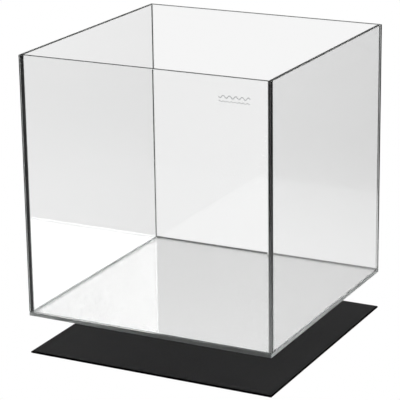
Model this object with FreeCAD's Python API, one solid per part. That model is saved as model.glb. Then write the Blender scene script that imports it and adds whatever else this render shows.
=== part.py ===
import FreeCAD, Part

import os

# Rimless cube aquarium of low-iron glass, lifted clear of its levelling mat.
# Millimetres, +Z up, front towards -Y, origin at the middle of the mat's underside.

# Driving dimensions
tank_width = 350.0           # along X, over the glass
tank_depth = 350.0           # along Y, over the glass
tank_height = 350.0          # underside of the bottom pane to the rim
glass = 5.0                  # thickness of every pane
arris = 0.4                  # small flat ground along every edge of a pane
silicone_film = 0.5          # silicone left between two bonded panes
silicone_recess = 0.3        # how far the film stays behind the outer faces
bead_leg = 1.6               # height of the smoothed bead in each inner corner
mat_thickness = 3.0          # closed-cell foam under the whole tank
lift = 50.0                  # space between the mat and the tank as displayed

# Levels worked out from the above
half_width = tank_width / 2
half_depth = tank_depth / 2
underside = mat_thickness + lift
floor_level = underside + glass
wall_foot = floor_level + silicone_film
rim = underside + tank_height
inner_x = half_width - glass
inner_y = half_depth - glass

vector = FreeCAD.Vector


def box(low, high):
    size = [high[axis] - low[axis] for axis in range(3)]
    return Part.makeBox(*size, vector(*low))


def pane(low, high):
    """A plate of float glass with its edges ground to a small arris."""
    plate = box(low, high)
    return plate.makeChamfer(arris, plate.Edges)


def bead_profile(corner, along_a, along_b):
    """Concave quarter-round face that fills the corner between two directions."""
    foot_a = corner + along_a * bead_leg
    foot_b = corner + along_b * bead_leg
    hollow = bead_leg * (1 - 0.5 ** 0.5)
    middle = corner + (along_a + along_b) * hollow
    outline = Part.Wire([
        Part.LineSegment(corner, foot_a).toShape(),
        Part.Arc(foot_a, middle, foot_b).toShape(),
        Part.LineSegment(foot_b, corner).toShape(),
    ])
    return Part.Face(outline)


def make_panes():
    """Bottom pane under all four walls, side panes held between front and back."""
    side_y = inner_y - silicone_film
    panes = {
        "bottom_pane": pane((-half_width, -half_depth, underside), (half_width, half_depth, floor_level)),
        "front_pane": pane((-half_width, -half_depth, wall_foot), (half_width, -inner_y, rim)),
        "back_pane": pane((-half_width, inner_y, wall_foot), (half_width, half_depth, rim)),
        "left_pane": pane((-half_width, -side_y, wall_foot), (-inner_x, side_y, rim)),
        "right_pane": pane((inner_x, -side_y, wall_foot), (half_width, side_y, rim)),
    }
    return panes


def bottom_seam(side):
    """Film under one wall and the bead along its inner foot."""
    outer_x = half_width - silicone_recess
    outer_y = half_depth - silicone_recess
    up = vector(0, 0, 1)
    if side in ("front", "back"):
        sign = -1 if side == "front" else 1
        near, far = sorted((sign * inner_y, sign * outer_y))
        film = box((-outer_x, near, floor_level - arris), (outer_x, far, wall_foot + arris))
        corner = vector(-inner_x, sign * inner_y, floor_level)
        bead = bead_profile(corner, vector(0, -sign, 0), up).extrude(vector(2 * inner_x, 0, 0))
    else:
        sign = -1 if side == "left" else 1
        near, far = sorted((sign * inner_x, sign * outer_x))
        film = box((near, -inner_y, floor_level - arris), (far, inner_y, wall_foot + arris))
        corner = vector(sign * inner_x, -inner_y, floor_level)
        bead = bead_profile(corner, vector(-sign, 0, 0), up).extrude(vector(0, 2 * inner_y, 0))
    return film.fuse(bead)


def corner_seam(front_back, left_right):
    """Film between the end of a side pane and the pane across it, with the inner bead."""
    sign_y = -1 if front_back == "front" else 1
    sign_x = -1 if left_right == "left" else 1
    height = rim - arris - wall_foot
    near_x, far_x = sorted((sign_x * inner_x, sign_x * (half_width - silicone_recess)))
    near_y, far_y = sorted((sign_y * (inner_y - silicone_film - arris), sign_y * inner_y))
    film = box((near_x, near_y, wall_foot), (far_x, far_y, wall_foot + height))
    corner = vector(sign_x * inner_x, sign_y * inner_y, wall_foot)
    bead = bead_profile(corner, vector(-sign_x, 0, 0), vector(0, -sign_y, 0))
    return film.fuse(bead.extrude(vector(0, 0, height)))


def make_seams(panes):
    """Eight seams, each trimmed by the glass and by the seams laid before it.

    The films start an arris too thick, so that the trimming leaves silicone in the ground edges.
    """
    seams = {}
    for side in ("front", "back", "left", "right"):
        seams["bottom_" + side + "_seam"] = bottom_seam(side)
    for front_back in ("front", "back"):
        for left_right in ("left", "right"):
            name = front_back + "_" + left_right + "_seam"
            seams[name] = corner_seam(front_back, left_right)
    laid = list(panes.values())
    for name, rough in seams.items():
        trimmed = rough.cut(laid).removeSplitter()
        largest = max(trimmed.Solids, key=lambda solid: solid.Volume)
        seams[name] = largest
        laid.append(largest)
    return seams


def make_mat():
    """Levelling mat, the same footprint as the tank."""
    return box((-half_width, -half_depth, 0), (half_width, half_depth, mat_thickness))


os.makedirs("parts", exist_ok=True)
nodes = make_panes()
nodes.update(make_seams(nodes))
nodes["levelling_mat"] = make_mat()
for name, shape in nodes.items():
    shape.exportStep("parts/" + name + ".step")
    print(name, round(shape.Volume, 1), shape.isValid(), len(shape.Solids))
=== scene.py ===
import math

import bmesh
import bpy
from mathutils import Matrix, Vector, noise


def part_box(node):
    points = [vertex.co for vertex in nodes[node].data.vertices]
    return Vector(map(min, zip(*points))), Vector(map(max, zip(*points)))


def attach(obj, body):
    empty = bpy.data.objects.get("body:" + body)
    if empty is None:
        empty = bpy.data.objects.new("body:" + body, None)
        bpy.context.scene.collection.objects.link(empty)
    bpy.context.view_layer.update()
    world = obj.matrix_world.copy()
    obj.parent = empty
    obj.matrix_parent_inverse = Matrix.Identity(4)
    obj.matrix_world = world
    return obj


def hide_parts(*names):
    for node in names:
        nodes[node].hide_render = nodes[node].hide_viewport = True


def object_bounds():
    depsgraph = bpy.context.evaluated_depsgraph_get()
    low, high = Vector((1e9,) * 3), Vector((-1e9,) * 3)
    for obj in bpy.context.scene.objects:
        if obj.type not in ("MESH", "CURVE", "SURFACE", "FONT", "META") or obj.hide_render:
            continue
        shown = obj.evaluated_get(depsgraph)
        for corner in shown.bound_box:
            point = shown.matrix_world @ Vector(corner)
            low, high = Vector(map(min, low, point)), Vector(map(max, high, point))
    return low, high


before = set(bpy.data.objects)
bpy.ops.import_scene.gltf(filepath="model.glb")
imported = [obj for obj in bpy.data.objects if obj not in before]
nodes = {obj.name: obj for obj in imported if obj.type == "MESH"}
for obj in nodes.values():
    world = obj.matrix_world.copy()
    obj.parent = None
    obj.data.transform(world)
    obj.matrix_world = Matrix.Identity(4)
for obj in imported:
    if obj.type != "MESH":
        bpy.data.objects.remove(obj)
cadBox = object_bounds()

lowCorner, highCorner = cadBox
middle = (lowCorner + highCorner) / 2

cameraSetup = {
    "azimuth": 27.334,                     # degrees from straight on, towards the right pane
    "elevation": 17.368,
    "roll": -0.825,
    "distance": 2.5276,
    "aim": (-0.0068, -0.0087, -0.0153),    # aimed this far from the middle of the tank and mat
    "lens": 171.575,
    "sensor": 36.0,
    "clip": (0.05, 100.0),
}


def makeCamera(setup):
    turn = math.radians(setup["azimuth"])
    rise = math.radians(setup["elevation"])
    tilt = math.radians(setup["roll"])
    back = Vector((math.sin(turn) * math.cos(rise), -math.cos(turn) * math.cos(rise), math.sin(rise)))
    level = Vector((math.cos(turn), math.sin(turn), 0))
    upright = back.cross(level)
    side = level * math.cos(tilt) + upright * math.sin(tilt)
    top = upright * math.cos(tilt) - level * math.sin(tilt)
    data = bpy.data.cameras.new("camera")
    data.lens = setup["lens"]
    data.sensor_width = setup["sensor"]
    data.clip_start, data.clip_end = setup["clip"]
    camera = bpy.data.objects.new("camera", data)
    spot = middle + Vector(setup["aim"]) + back * setup["distance"]
    camera.matrix_world = Matrix.Translation(spot) @ Matrix((side, top, back)).transposed().to_4x4()
    bpy.context.scene.collection.objects.link(camera)
    bpy.context.scene.camera = camera


makeCamera(cameraSetup)
print("camera placed")


def addNode(tree, kind, values=None, **settings):
    node = tree.nodes.new(kind)
    for name, value in settings.items():
        setattr(node, name, value)
    for name, value in (values or {}).items():
        node.inputs[name].default_value = value
    return node


def wire(tree, source, target):
    tree.links.new(source, target)


def mathNode(tree, operation, first, second):
    node = addNode(tree, "ShaderNodeMath", operation=operation)
    for socket, value in zip(node.inputs, (first, second)):
        if isinstance(value, bpy.types.NodeSocket):
            wire(tree, value, socket)
        else:
            socket.default_value = value
    return node.outputs[0]


def newGroup(name, inputs, outputs):
    group = bpy.data.node_groups.new(name, "ShaderNodeTree")
    for label, kind, value in inputs:
        socket = group.interface.new_socket(label, in_out="INPUT", socket_type=kind)
        socket.default_value = value
    for label, kind in outputs:
        group.interface.new_socket(label, in_out="OUTPUT", socket_type=kind)
    return group, group.nodes.new("NodeGroupInput"), group.nodes.new("NodeGroupOutput")


def newMaterial(name, plain):
    # plain holds the numbers that are the same all over the surface
    material = bpy.data.materials.new(name)
    material.use_nodes = True
    tree = material.node_tree
    shader = tree.nodes["Principled BSDF"]
    for socket, value in plain.items():
        shader.inputs[socket].default_value = value
    return material, tree, shader


def placeGroup(tree, group, values):
    node = tree.nodes.new("ShaderNodeGroup")
    node.node_tree = group
    for name, value in values.items():
        node.inputs[name].default_value = value
    return node


def between(spot, spacing):
    # smooth unevenness from 0 to 1, changing over about this spacing
    return 0.5 + 0.5 * noise.noise(spot / spacing)


def addPiece(name, mesh, body):
    piece = bpy.data.objects.new(name, mesh)
    bpy.context.scene.collection.objects.link(piece)
    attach(piece, body)
    return piece


# The studio is a bright field. Looked at straight through the glass it is white. A mirrored look finds
# a dim room with a few bright windows, and that is what draws the edges of clear glass.
studio = {
    "white": 1.0,
    "room": 0.08,                  # what a mirrored look sees between the windows
    "ambient": 1.13,               # what lights the matt pieces
    "windowLevel": 4.8,
    "windowElevation": 17.0,
    "windowAzimuths": (27.6, 117.6, 297.6),
    "windowInner": 12.0,           # degrees from a window's middle that are fully bright
    "windowOuter": 22.0,           # degrees at which it has faded out
    "floorSize": 60.0,
    "floorDrop": 0.0002,           # below the mat
    "poolMiddle": (0.30, 0.20, 0.0),    # light pools on the floor beside the right pane
    "poolLevel": 0.47,
    "poolFade": (0.05, 0.85),      # metres over which it falls to the room's level
    "bounces": 40,
}


def anyOf(tree, depth):
    # 1 once the path has turned at least once, 0 before
    return mathNode(tree, "GREATER_THAN", depth, 0.5)


def studioShader(tree, kind, mirrored, setup):
    # white where seen straight, mirrored where a shiny face turned the path, ambient where a matt face did
    path = addNode(tree, "ShaderNodeLightPath")
    white = addNode(tree, kind, {"Color": (1, 1, 1, 1), "Strength": setup["white"]})
    ambient = addNode(tree, kind, {"Color": (1, 1, 1, 1), "Strength": setup["ambient"]})
    turned = addNode(tree, "ShaderNodeMixShader")
    wire(tree, anyOf(tree, path.outputs["Glossy Depth"]), turned.inputs[0])
    wire(tree, white.outputs[0], turned.inputs[1])
    wire(tree, mirrored.outputs[0], turned.inputs[2])
    scattered = addNode(tree, "ShaderNodeMixShader")
    wire(tree, anyOf(tree, path.outputs["Diffuse Depth"]), scattered.inputs[0])
    wire(tree, turned.outputs[0], scattered.inputs[1])
    wire(tree, ambient.outputs[0], scattered.inputs[2])
    return scattered.outputs[0]


def makeWorld(setup):
    world = bpy.data.worlds.new("studio")
    world.use_nodes = True
    tree = world.node_tree
    tree.nodes.clear()
    place = addNode(tree, "ShaderNodeTexCoord")
    rise = math.radians(setup["windowElevation"])
    total = setup["room"]
    for azimuth in setup["windowAzimuths"]:
        turn = math.radians(azimuth)
        way = (math.sin(turn) * math.cos(rise), math.cos(turn) * math.cos(rise), math.sin(rise))
        facing = addNode(tree, "ShaderNodeVectorMath", {1: way}, operation="DOT_PRODUCT")
        wire(tree, place.outputs["Generated"], facing.inputs[0])
        fade = addNode(tree, "ShaderNodeMapRange", {
            "From Min": math.cos(math.radians(setup["windowOuter"])),
            "From Max": math.cos(math.radians(setup["windowInner"])),
            "To Min": 0.0,
            "To Max": setup["windowLevel"],
        }, interpolation_type="SMOOTHSTEP")
        wire(tree, facing.outputs["Value"], fade.inputs["Value"])
        total = mathNode(tree, "ADD", fade.outputs[0], total)
    mirrored = addNode(tree, "ShaderNodeBackground", {"Color": (1, 1, 1, 1)})
    wire(tree, total, mirrored.inputs["Strength"])
    output = addNode(tree, "ShaderNodeOutputWorld")
    wire(tree, studioShader(tree, "ShaderNodeBackground", mirrored, setup), output.inputs["Surface"])
    bpy.context.scene.world = world


def makeFloor(setup):
    half = setup["floorSize"] / 2
    mesh = bpy.data.meshes.new("studio_floor")
    height = lowCorner.z - setup["floorDrop"]
    corners = [(-half, -half, height), (half, -half, height), (half, half, height), (-half, half, height)]
    mesh.from_pydata(corners, [], [(0, 1, 2, 3)])
    floor = bpy.data.objects.new("studio_floor", mesh)
    bpy.context.scene.collection.objects.link(floor)
    material = bpy.data.materials.new("pale floor")
    material.use_nodes = True
    tree = material.node_tree
    tree.nodes.clear()
    place = addNode(tree, "ShaderNodeTexCoord")
    away = addNode(tree, "ShaderNodeVectorMath", {1: setup["poolMiddle"]}, operation="DISTANCE")
    wire(tree, place.outputs["Object"], away.inputs[0])
    near, far = setup["poolFade"]
    fade = addNode(tree, "ShaderNodeMapRange", {
        "From Min": near,
        "From Max": far,
        "To Min": setup["poolLevel"],
        "To Max": setup["room"],
    }, interpolation_type="SMOOTHSTEP")
    wire(tree, away.outputs["Value"], fade.inputs["Value"])
    mirrored = addNode(tree, "ShaderNodeEmission", {"Color": (1, 1, 1, 1)})
    wire(tree, fade.outputs[0], mirrored.inputs["Strength"])
    output = addNode(tree, "ShaderNodeOutputMaterial")
    wire(tree, studioShader(tree, "ShaderNodeEmission", mirrored, setup), output.inputs["Surface"])
    mesh.materials.append(material)


def setLook(setup):
    scene = bpy.context.scene
    scene.view_settings.view_transform = "Standard"
    scene.cycles.blur_glossy = 0.0      # clear glass passes all the light it should
    scene.cycles.max_bounces = setup["bounces"]
    scene.cycles.glossy_bounces = setup["bounces"]
    scene.cycles.transmission_bounces = setup["bounces"]


makeWorld(studio)
makeFloor(studio)
setLook(studio)
print("studio lit")


groupShape = {
    "speckDetail": {"Detail": 3.0, "Roughness": 0.6},
    "speckRange": {"From Min": 0.3, "From Max": 0.7},
    "edgeWaver": {"Scale": 900.0, "Detail": 2.0},      # how the ground flats vary in width
    "edgeNarrowest": 0.7,                              # of the flats' width, before the waver is added
    "edgeDepth": 0.5,                                  # of the flats' width, how deep an end is felt
    "hollowRange": {"From Min": 0.1, "From Max": 0.75},
}


def makeSpeckle(shape):
    # fine uneven tone, as in ground glass, silicone and foam
    group, given, result = newGroup(
        "fine speckle",
        [
            ("Size", "NodeSocketFloat", 0.001),
            ("Low", "NodeSocketFloat", 0.9),
            ("High", "NodeSocketFloat", 1.0),
            ("Colour", "NodeSocketColor", (1, 1, 1, 1)),
        ],
        [("Colour", "NodeSocketColor"), ("Mask", "NodeSocketFloat")],
    )
    place = addNode(group, "ShaderNodeTexCoord")
    grain = addNode(group, "ShaderNodeTexNoise", shape["speckDetail"])
    wire(group, place.outputs["Object"], grain.inputs["Vector"])
    wire(group, mathNode(group, "DIVIDE", 1.0, given.outputs["Size"]), grain.inputs["Scale"])
    level = addNode(group, "ShaderNodeMapRange", shape["speckRange"])
    wire(group, grain.outputs["Fac"], level.inputs["Value"])
    wire(group, given.outputs["Low"], level.inputs["To Min"])
    wire(group, given.outputs["High"], level.inputs["To Max"])
    tint = addNode(group, "ShaderNodeVectorMath", operation="SCALE")
    wire(group, given.outputs["Colour"], tint.inputs[0])
    wire(group, level.outputs[0], tint.inputs["Scale"])
    wire(group, tint.outputs[0], result.inputs["Colour"])
    wire(group, level.outputs[0], result.inputs["Mask"])
    return group


def makeGroundEdges(shape):
    # finds a plate's narrow ends and the small flats ground along its edges, from its two corners
    group, given, result = newGroup(
        "ground edges",
        [
            ("Low", "NodeSocketVector", (0, 0, 0)),
            ("High", "NodeSocketVector", (1, 1, 1)),
            ("Across", "NodeSocketVector", (0, 0, 1)),
            ("Width", "NodeSocketFloat", 0.0004),
        ],
        [(label, "NodeSocketFloat") for label in ("Ends", "Sides", "Rim", "Flats")],
    )
    place = addNode(group, "ShaderNodeTexCoord")
    above = addNode(group, "ShaderNodeVectorMath", operation="SUBTRACT")
    wire(group, place.outputs["Object"], above.inputs[0])
    wire(group, given.outputs["Low"], above.inputs[1])
    below = addNode(group, "ShaderNodeVectorMath", operation="SUBTRACT")
    wire(group, given.outputs["High"], below.inputs[0])
    wire(group, place.outputs["Object"], below.inputs[1])
    depth = addNode(group, "ShaderNodeVectorMath", operation="MINIMUM")
    wire(group, above.outputs[0], depth.inputs[0])
    wire(group, below.outputs[0], depth.inputs[1])
    split = addNode(group, "ShaderNodeSeparateXYZ")
    wire(group, depth.outputs[0], split.inputs[0])
    x, y, z = split.outputs
    smaller = mathNode(group, "MINIMUM", x, y)
    larger = mathNode(group, "MAXIMUM", x, y)
    median = mathNode(group, "MAXIMUM", smaller, mathNode(group, "MINIMUM", larger, z))
    uneven = addNode(group, "ShaderNodeTexNoise", shape["edgeWaver"])
    wire(group, place.outputs["Object"], uneven.inputs["Vector"])
    waver = mathNode(group, "ADD", uneven.outputs["Fac"], shape["edgeNarrowest"])
    reach = mathNode(group, "MULTIPLY", given.outputs["Width"], waver)
    wire(group, mathNode(group, "LESS_THAN", median, reach), result.inputs["Flats"])
    through = addNode(group, "ShaderNodeVectorMath", operation="DOT_PRODUCT")
    wire(group, depth.outputs[0], through.inputs[0])
    wire(group, given.outputs["Across"], through.inputs[1])
    deep = mathNode(group, "MULTIPLY", given.outputs["Width"], shape["edgeDepth"])
    ends = mathNode(group, "GREATER_THAN", through.outputs["Value"], deep)
    wire(group, ends, result.inputs["Ends"])
    sides = mathNode(group, "MULTIPLY", mathNode(group, "LESS_THAN", x, deep), ends)
    wire(group, sides, result.inputs["Sides"])
    splitBelow = addNode(group, "ShaderNodeSeparateXYZ")
    wire(group, below.outputs[0], splitBelow.inputs[0])
    rim = mathNode(group, "MULTIPLY", mathNode(group, "LESS_THAN", splitBelow.outputs[2], deep), ends)
    wire(group, rim, result.inputs["Rim"])
    return group


def makeFoamCells(shape):
    # closed cells of blown foam, as a height and as a tone that darkens towards the cell walls, painted shade
    # in the hollows
    group, given, result = newGroup(
        "foam cells",
        [
            ("Cell", "NodeSocketFloat", 0.001),
            ("Depth", "NodeSocketFloat", 0.4),
            ("Colour", "NodeSocketColor", (1, 1, 1, 1)),
        ],
        [("Colour", "NodeSocketColor"), ("Height", "NodeSocketFloat")],
    )
    place = addNode(group, "ShaderNodeTexCoord")
    cells = addNode(group, "ShaderNodeTexVoronoi", {"Randomness": 1.0}, feature="SMOOTH_F1")
    wire(group, place.outputs["Object"], cells.inputs["Vector"])
    wire(group, mathNode(group, "DIVIDE", 1.0, given.outputs["Cell"]), cells.inputs["Scale"])
    hollow = addNode(group, "ShaderNodeMapRange", shape["hollowRange"])
    wire(group, cells.outputs["Distance"], hollow.inputs["Value"])
    # painted shade: the tone darkens in the cell hollows by Depth
    hollowShade = mathNode(group, "MULTIPLY", hollow.outputs[0], given.outputs["Depth"])
    shade = mathNode(group, "SUBTRACT", 1.0, hollowShade)
    tint = addNode(group, "ShaderNodeVectorMath", operation="SCALE")
    wire(group, given.outputs["Colour"], tint.inputs[0])
    wire(group, shade, tint.inputs["Scale"])
    wire(group, tint.outputs[0], result.inputs["Colour"])
    wire(group, hollow.outputs[0], result.inputs["Height"])
    return group


speckle = makeSpeckle(groupShape)
foamCells = makeFoamCells(groupShape)
groundEdges = makeGroundEdges(groupShape)
print("shader groups made")

glassLook = {
    "colour": (0.999, 1.0, 0.9995, 1),
    "endRoughness": 0.10,
    "flatRoughness": 0.5,
    "flatWidth": 0.0004,
    "patchSize": 0.12,
    "patchLow": 0.999,
    "ior": 1.52,
    # through: the way across each plate; ends, sides, rim and flats: how much light their ground faces
    # pass, a darkening that is painted shade for the dark glass edges; grind: how rough the rim is, and on
    # the bottom pane its ends too
    "panes": {
        "bottom_pane": {
            "through": (0, 0, 1),
            "ends": 0.19, "sides": 1.0, "rim": 1.0,
            "flats": 0.5, "grind": 0.5,
        },
        "front_pane": {
            "through": (0, 1, 0),
            "ends": 0.60, "sides": 0.60, "rim": 0.05,
            "flats": 0.75, "grind": 0.6,
        },
        "back_pane": {
            "through": (0, 1, 0),
            "ends": 1.0, "sides": 0.60, "rim": 0.02,
            "flats": 0.45, "grind": 0.9,
        },
        "left_pane": {
            "through": (1, 0, 0),
            "ends": 0.70, "sides": 0.60, "rim": 1.0,
            "flats": 1.0, "grind": 1.0,
        },
        "right_pane": {
            "through": (1, 0, 0),
            "ends": 0.60, "sides": 0.60, "rim": 1.0,
            "flats": 1.0, "grind": 1.0,
        },
    },
    "endTint": (0.96, 1.0, 0.985),
    "clearRoughness": 0.0,
}


def mixBy(tree, kind, mask, first, second):
    # kind is RGBA for colours and FLOAT for numbers
    mix = addNode(tree, "ShaderNodeMix", data_type=kind)
    sockets = {socket.identifier: socket for socket in mix.inputs}
    ending = "Color" if kind == "RGBA" else "Float"
    wire(tree, mask, sockets["Factor_Float"])
    for label, value in (("A_" + ending, first), ("B_" + ending, second)):
        if isinstance(value, bpy.types.NodeSocket):
            wire(tree, value, sockets[label])
        else:
            sockets[label].default_value = value
    return {socket.identifier: socket for socket in mix.outputs}["Result_" + ending]


def makeGlass(name, pane, look):
    low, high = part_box(name)
    material, tree, shader = newMaterial("low iron glass " + name, {
        "IOR": look["ior"],
        "Transmission Weight": 1.0,
    })
    edges = placeGroup(tree, groundEdges, {
        "Low": low,
        "High": high,
        "Across": pane["through"],
        "Width": look["flatWidth"],
    })
    tone = placeGroup(tree, speckle, {
        "Size": look["patchSize"],
        "Low": look["patchLow"],
        "Colour": look["colour"],
    })
    colour = tone.outputs["Colour"]
    # each pane's factors darken the tint on its ground faces: painted shade for the dark glass edges, while
    # the green endTint is the glass's own
    for mask in ("Ends", "Sides", "Rim", "Flats"):
        ground = [pane[mask.lower()] * part for part in look["endTint"]] + [1.0]
        colour = mixBy(tree, "RGBA", edges.outputs[mask], colour, ground)
    wire(tree, colour, shader.inputs["Base Color"])
    endRoughness = pane["grind"] if name == "bottom_pane" else look["endRoughness"]
    rough = mixBy(tree, "FLOAT", edges.outputs["Ends"], look["clearRoughness"], endRoughness)
    rough = mixBy(tree, "FLOAT", edges.outputs["Rim"], rough, pane["grind"])
    rough = mixBy(tree, "FLOAT", edges.outputs["Flats"], rough, look["flatRoughness"])
    wire(tree, rough, shader.inputs["Roughness"])
    return material


for paneName, pane in glassLook["panes"].items():
    paneMesh = nodes[paneName].data
    paneMesh.materials.clear()
    paneMesh.materials.append(makeGlass(paneName, pane, glassLook))
print("panes glazed")

siliconeLook = {
    "beadColour": (0.985, 0.99, 0.99, 1),
    "filmTint": (0.98, 1.0, 1.0),
    "speckSize": 0.002,
    "speckLow": 0.94,
    "beadRoughness": 0.05,
    "beadIor": 1.08,               # bonded to the glass, so it bends light less than a loose piece would
    "filmRoughness": 0.35,
    "filmIor": 1.41,
    "fade": (0.09, 0.26),          # heights between which a film's painted shade turns from its lower to its upper tone
    "seams": {                     # tones of each film, painted shade where the glass joints read dark; a film without tones is clear
        "bottom_front": {},
        "bottom_back": {},
        "bottom_left": {},
        "bottom_right": {"lower": 0.09, "upper": 0.09},
        "front_left": {"lower": 0.040, "upper": 0.022},
        "front_right": {"lower": 0.190, "upper": 0.032},
        "back_left": {"lower": 0.024, "upper": 0.024},
        "back_right": {"lower": 0.060, "upper": 0.024},
    },
}


siliconeSize = {
    "clearance": 0.00002,          # between the silicone and the glass it is cast against
    "glass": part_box("right_pane")[1].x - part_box("right_pane")[0].x,
    "film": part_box("right_pane")[0].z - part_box("bottom_pane")[1].z,
    "arris": glassLook["flatWidth"],
    "recess": 0.0003,              # the films stop this far behind the outer faces
    "leg": 0.0016,                 # height of a bead
    "arcSteps": 8,
    "ringSpacing": 0.006,
    "wanderSpacing": 0.02,
    "filmWander": 0.0003,          # how unevenly a film's edge was trimmed
    "beadWander": 0.00012,         # how unevenly a bead was smoothed
    "calmRings": 2,                # the ends keep their full section over this many rings
}


def makeBeadSilicone(look):
    material, tree, shader = newMaterial("clear silicone", {
        "IOR": look["beadIor"],
        "Transmission Weight": 1.0,
        "Roughness": look["beadRoughness"],
    })
    tone = placeGroup(tree, speckle, {
        "Size": look["speckSize"],
        "Low": look["speckLow"],
        "Colour": look["beadColour"],
    })
    wire(tree, tone.outputs["Colour"], shader.inputs["Base Color"])
    return material


def makeShadePaintedFilm(seam, tones, look):
    material, tree, shader = newMaterial("shade-painted silicone film " + seam, {
        "IOR": look["filmIor"],
        "Roughness": look["filmRoughness"],
    })
    # the film's tone is painted shade: a dark sheet where the glass joint reads dark, turning between two
    # tones with height
    place = addNode(tree, "ShaderNodeTexCoord")
    split = addNode(tree, "ShaderNodeSeparateXYZ")
    wire(tree, place.outputs["Object"], split.inputs[0])
    low, high = look["fade"]
    fade = addNode(tree, "ShaderNodeMapRange", {
        "From Min": low,
        "From Max": high,
        "To Min": tones["lower"],
        "To Max": tones["upper"],
    }, interpolation_type="SMOOTHSTEP")
    wire(tree, split.outputs[2], fade.inputs["Value"])
    colour = addNode(tree, "ShaderNodeVectorMath", {0: look["filmTint"]}, operation="SCALE")
    wire(tree, fade.outputs[0], colour.inputs["Scale"])
    tone = placeGroup(tree, speckle, {"Size": look["speckSize"], "Low": look["speckLow"]})
    wire(tree, colour.outputs[0], tone.inputs["Colour"])
    wire(tree, tone.outputs["Colour"], shader.inputs["Base Color"])
    return material


def seamFrame(seam):
    # where the inner faces meet, the way out into the film, the way up from the unbroken pane, and along
    innerX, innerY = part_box("right_pane")[0].x, -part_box("front_pane")[1].y
    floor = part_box("bottom_pane")[1].z
    acrossX, acrossY, up = Vector((1, 0, 0)), Vector((0, 1, 0)), Vector((0, 0, 1))
    side, end = seam.split("_")
    if side != "bottom":
        signX = -1 if end == "left" else 1
        signY = -1 if side == "front" else 1
        corner = Vector((signX * innerX, signY * innerY, floor))
        return corner, acrossX * signX, acrossY * -signY, up
    sign = -1 if end in ("front", "left") else 1
    if end in ("front", "back"):
        return Vector((0, sign * innerY, floor)), acrossY * sign, up, acrossX
    return Vector((sign * innerX, 0, floor)), acrossX * sign, up, acrossY


def filmOutline(size, wander):
    # out and up from the corner; wander is how far the outer edge has drawn back
    gap, glass, film, arris = size["clearance"], size["glass"], size["film"], size["arris"]
    outer = glass - size["recess"] - wander
    bend = min(glass - arris, outer - gap)
    spread = max(0.0, outer - (glass - arris))
    return [
        (gap, gap),
        (bend, gap),
        (outer, gap - spread),
        (outer, film + spread - gap),
        (bend, film - gap),
        (arris, film - gap),
        (gap, film + arris - gap),
    ]


def beadOutline(size, wander):
    # the corner first, then the hollow face from one pane to the other
    gap, leg = size["clearance"], size["leg"] - wander
    points = [(-gap, gap)]
    for step in range(size["arcSteps"] + 1):
        turn = math.pi / 2 * step / size["arcSteps"]
        points.append((-leg + (leg - gap) * math.cos(turn), leg - (leg - gap) * math.sin(turn)))
    return points


def seamMesh(name, outline, seamWays, start, end, mitres, wanderMost, size):
    # mitres: whether the lower and upper ends are cut to meet the other seams of the corner
    corner, outward, rise, along = seamWays
    rings = max(2, round((end - start) / size["ringSpacing"]))
    form = bmesh.new()
    previous = None
    for index in range(rings + 1):
        part = index / rings
        calm = min(1.0, min(index, rings - index) / size["calmRings"])
        drift = between(Vector((part * (end - start), corner.x, corner.y)), size["wanderSpacing"])
        ring = []
        for out, up in outline(size, wanderMost * calm * drift):
            reach = max(abs(out), abs(up)) + size["clearance"] / 2
            low = start + (reach if mitres[0] else 0)
            high = end - (reach if mitres[1] else 0)
            spot = corner + outward * out + rise * up + along * (low + (high - low) * part)
            ring.append(form.verts.new(spot))
        count = len(ring)
        if previous:
            for here in range(count):
                after = (here + 1) % count
                face = form.faces.new((previous[here], previous[after], ring[after], ring[here]))
                face.smooth = outline is beadOutline and 0 < here < count - 1
        if index in (0, rings):
            for here in range(1, count - 1):
                form.faces.new((ring[0], ring[here], ring[here + 1]))
        previous = ring
    bmesh.ops.recalc_face_normals(form, faces=form.faces)
    mesh = bpy.data.meshes.new(name)
    form.to_mesh(mesh)
    form.free()
    return mesh


def makeSeams(look, size):
    clear = makeBeadSilicone(look)
    innerX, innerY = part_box("right_pane")[0].x, -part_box("front_pane")[1].y
    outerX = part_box("front_pane")[1].x
    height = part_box("front_pane")[1].z - size["arris"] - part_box("bottom_pane")[1].z
    foot = size["film"] + size["arris"] + size["clearance"]
    for seam, kind in look["seams"].items():
        seamWays = seamFrame(seam)
        upright = not seam.startswith("bottom")
        alongX = seamWays[3].x > 0
        reach = innerX if alongX else innerY
        filmReach = outerX - size["recess"] if alongX else innerY - size["clearance"]
        filmSpan = (foot, height) if upright else (-filmReach, filmReach)
        beadSpan = (0.0, height) if upright else (-reach, reach)
        film = seamMesh(seam + "_film", filmOutline, seamWays, *filmSpan,
                        (False, False), size["filmWander"], size)
        # films given tones carry painted shade, the others are clear silicone
        film.materials.append(makeShadePaintedFilm(seam, kind, look) if "upper" in kind else clear)
        bead = seamMesh(seam + "_bead", beadOutline, seamWays, *beadSpan,
                        (True, not upright), size["beadWander"], size)
        bead.materials.append(clear)
        for mesh in (bead, film):
            piece = addPiece(mesh.name, mesh, "tank")
            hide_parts(seam + "_seam")


makeSeams(siliconeLook, siliconeSize)
print("seams filled")

coatSize = {
    "inset": 0.0006,               # clear margin at the pane's ground edges
    "cornerRadius": 0.001,
    "cornerSteps": 5,
    "edgeSteps": 90,
    "wander": 0.00015,             # unevenness of its edge
    "wanderSpacing": 0.012,
    "drop": 0.00003,               # below the bottom pane
    "thickness": 0.00004,
    "colour": (0.96, 0.96, 0.96, 1),
    "finish": {"Roughness": 0.6, "Specular IOR Level": 0.0},
    "patchSize": 0.05,
    "patchLow": 0.985,
}


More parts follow.
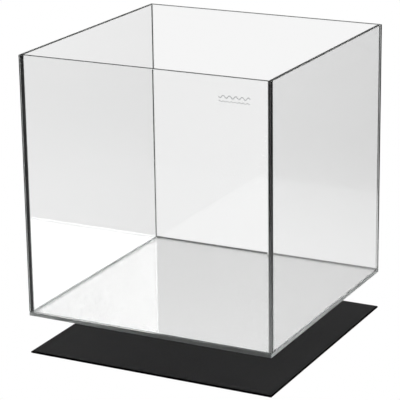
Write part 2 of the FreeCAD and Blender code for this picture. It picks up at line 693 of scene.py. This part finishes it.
def coatOutline(low, high, size):
    # round the pane's underside, corners rounded and the edge slightly uneven
    radius = size["cornerRadius"]
    outline = []
    for quarter, (x, y) in enumerate(((high.x, high.y), (low.x, high.y), (low.x, low.y), (high.x, low.y))):
        start = math.pi / 2 * quarter
        inX = x - math.copysign(radius + size["inset"], x - middle.x)
        inY = y - math.copysign(radius + size["inset"], y - middle.y)
        for step in range(size["cornerSteps"] + 1):
            turn = start + math.pi / 2 * step / size["cornerSteps"]
            outline.append((inX + radius * math.cos(turn), inY + radius * math.sin(turn), turn))
    spots = []
    for index, (x, y, turn) in enumerate(outline):
        nextX, nextY = outline[(index + 1) % len(outline)][:2]
        steps = size["edgeSteps"] if abs(nextX - x) + abs(nextY - y) > radius * 2 else 1
        for step in range(steps):
            spot = Vector((x + (nextX - x) * step / steps, y + (nextY - y) * step / steps, 0))
            drawnBack = size["wander"] * between(spot, size["wanderSpacing"])
            spots.append(spot - Vector((math.cos(turn), math.sin(turn), 0)) * drawnBack)
    return spots


def coatMesh(low, high, size):
    top = low.z - size["drop"]
    mesh = bpy.data.meshes.new("underside_coat")
    form = bmesh.new()
    upper, lower = [], []
    for spot in coatOutline(low, high, size):
        upper.append(form.verts.new((spot.x, spot.y, top)))
        lower.append(form.verts.new((spot.x, spot.y, top - size["thickness"])))
    count = len(upper)
    for here in range(count):
        after = (here + 1) % count
        form.faces.new((upper[here], upper[after], lower[after], lower[here]))
    form.faces.new(upper)
    form.faces.new(lower)
    bmesh.ops.recalc_face_normals(form, faces=form.faces)
    form.to_mesh(mesh)
    form.free()
    return mesh


def makeCoat(size):
    mesh = coatMesh(*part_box("bottom_pane"), size)
    material, tree, shader = newMaterial("white coat", size["finish"])
    tone = placeGroup(tree, speckle, {
        "Size": size["patchSize"],
        "Low": size["patchLow"],
        "Colour": size["colour"],
    })
    wire(tree, tone.outputs["Colour"], shader.inputs["Base Color"])
    mesh.materials.append(material)
    coat = addPiece("underside_coat", mesh, "tank")
    coat.visible_diffuse = False    # keeps the mat as evenly lit as in an open studio


makeCoat(coatSize)
print("underside coated")

matSize = {
    "rounding": 0.0009,
    "across": 70,                  # faces along each side
    "down": 4,                     # faces through the thickness
    "sag": 0.00006,                # unevenness of the skin
    "sagSpacing": 0.035,
    "cut": 0.00018,                # unevenness of the cut sides
    "cutSpacing": 0.006,
    "cutLayers": 2,                # changes faster through the thickness, by this
    "tolerance": 0.0001,           # how near a side a point counts as on it, as a part of half the mat
    "patchSize": 0.06,
    "patchLow": 0.93,
    "roughness": {"To Min": 0.82, "To Max": 0.95},
    "bump": 0.5,
    # cell: width of a foam cell; depth: how much painted shade darkens its hollow; relief: how deep it is
    "skin": {
        "colour": (0.0222, 0.0222, 0.0227, 1),
        "sheen": 0.1,
        "cell": 0.0009,
        "depth": 0.25,
        "relief": 0.0001,
    },
    # the cut sides' near-black colour is partly the darker open cells of cut foam and partly painted shade on
    # the mat's sides
    "side": {
        "colour": (0.0006, 0.0006, 0.00065, 1),
        "sheen": 0.0,
        "cell": 0.0006,
        "depth": 0.5,
        "relief": 0.0003,
    },
    "skinTilt": 0.97,              # faces more level than this are skin
}


def makeFoam(name, finish, size):
    material, tree, shader = newMaterial(name, {"Specular IOR Level": finish["sheen"]})
    patches = placeGroup(tree, speckle, {
        "Size": size["patchSize"],
        "Low": size["patchLow"],
        "Colour": finish["colour"],
    })
    cells = placeGroup(tree, foamCells, {"Cell": finish["cell"], "Depth": finish["depth"]})
    wire(tree, patches.outputs["Colour"], cells.inputs["Colour"])
    wire(tree, cells.outputs["Colour"], shader.inputs["Base Color"])
    rough = addNode(tree, "ShaderNodeMapRange", size["roughness"])
    wire(tree, cells.outputs["Height"], rough.inputs["Value"])
    wire(tree, rough.outputs[0], shader.inputs["Roughness"])
    relief = {"Strength": size["bump"], "Distance": finish["relief"]}
    bump = addNode(tree, "ShaderNodeBump", relief, invert=True)
    wire(tree, cells.outputs["Height"], bump.inputs["Height"])
    wire(tree, bump.outputs["Normal"], shader.inputs["Normal"])
    return material


def isUpright(edge):
    run = edge.verts[1].co - edge.verts[0].co
    return abs(run.z) > max(abs(run.x), abs(run.y))


def matMesh(low, high, size):
    matMiddle = (low + high) / 2
    reach = (high - low) / 2
    form = bmesh.new()
    bmesh.ops.create_cube(form, size=1)
    for point in form.verts:
        for axis in range(3):
            point.co[axis] = low[axis] if point.co[axis] < 0 else high[axis]
    for upright, count in ((True, size["down"]), (False, size["across"])):
        edges = [edge for edge in form.edges if isUpright(edge) == upright]
        bmesh.ops.subdivide_edges(form, edges=edges, cuts=count - 1, use_grid_fill=True)
    atEdge = 1 - size["tolerance"]
    for point in form.verts:
        fromMiddle = point.co - matMiddle
        sag = size["sag"] * between(point.co, size["sagSpacing"])
        ragged = between(Vector((point.co.x, point.co.y, point.co.z * size["cutLayers"])), size["cutSpacing"])
        onSkin = abs(fromMiddle.z) > reach.z * atEdge
        sides = [axis for axis in (0, 1) if abs(fromMiddle[axis]) > reach[axis] * atEdge]
        inward = size["cut"] * ragged + (size["rounding"] if onSkin else 0)
        for axis in sides:
            point.co[axis] -= math.copysign(inward, fromMiddle[axis])
        if onSkin and not sides and fromMiddle.z > 0:
            point.co.z -= sag
    for face in form.faces:
        face.smooth = True
        face.material_index = 0 if abs(face.normal.z) > size["skinTilt"] else 1
    mesh = bpy.data.meshes.new("foam_mat")
    form.to_mesh(mesh)
    form.free()
    return mesh


def makeMat(size):
    low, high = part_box("levelling_mat")
    mesh = matMesh(low, high, size)
    mesh.materials.append(makeFoam("black foam skin", size["skin"], size))
    mesh.materials.append(makeFoam("black foam cut side with painted shade", size["side"], size))
    mat = addPiece("foam_mat", mesh, "mat")
    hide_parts("levelling_mat")


makeMat(matSize)
print("mat laid")

markSize = {
    "middle": (0.1255, 0.3752),    # along the front pane and above the ground, near its upper right corner
    "length": 0.042,
    "rows": (                      # height above the middle, wave height, wave length, stroke width
        (0.0024, 0.0016, 0.0084, 0.0013),
        (-0.0034, 0.0006, 0.0053, 0.0009),
    ),
    "steps": 160,
    "thickness": 0.00002,
    "clearance": 0.00003,
    "colour": (0.50, 0.51, 0.51, 1),
    "finish": {"Roughness": 0.7, "Specular IOR Level": 0.1},
    "grain": 0.0004,
    "grainLow": 0.85,
}


def makeMark(size):
    # two wavy strokes frosted on the inside of the front pane
    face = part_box("front_pane")[1].y + size["clearance"]
    middleX, middleZ = size["middle"]
    form = bmesh.new()
    for above, swing, wave, width in size["rows"]:
        previous = None
        for step in range(size["steps"] + 1):
            along = (step / size["steps"] - 0.5) * size["length"]
            turn = 2 * math.pi * along / wave
            slope = swing * 2 * math.pi / wave * math.cos(turn)
            across = Vector((-slope, 0, 1)).normalized() * width / 2
            spot = Vector((middleX + along, face, middleZ + above + swing * math.sin(turn)))
            deep = Vector((0, size["thickness"], 0))
            corners = (across, across + deep, deep - across, -across)
            ring = [form.verts.new(spot + corner) for corner in corners]
            if previous:
                for index in range(len(ring)):
                    after = (index + 1) % len(ring)
                    form.faces.new((previous[index], previous[after], ring[after], ring[index]))
            else:
                form.faces.new(ring)
            previous = ring
        form.faces.new(previous)
    bmesh.ops.recalc_face_normals(form, faces=form.faces)
    mesh = bpy.data.meshes.new("frosted_mark")
    form.to_mesh(mesh)
    form.free()
    material, tree, shader = newMaterial("frosted mark", size["finish"])
    tone = placeGroup(tree, speckle, {
        "Size": size["grain"],
        "Low": size["grainLow"],
        "Colour": size["colour"],
    })
    wire(tree, tone.outputs["Colour"], shader.inputs["Base Color"])
    mesh.materials.append(material)
    addPiece("frosted_mark", mesh, "tank")


makeMark(markSize)
print("mark printed")
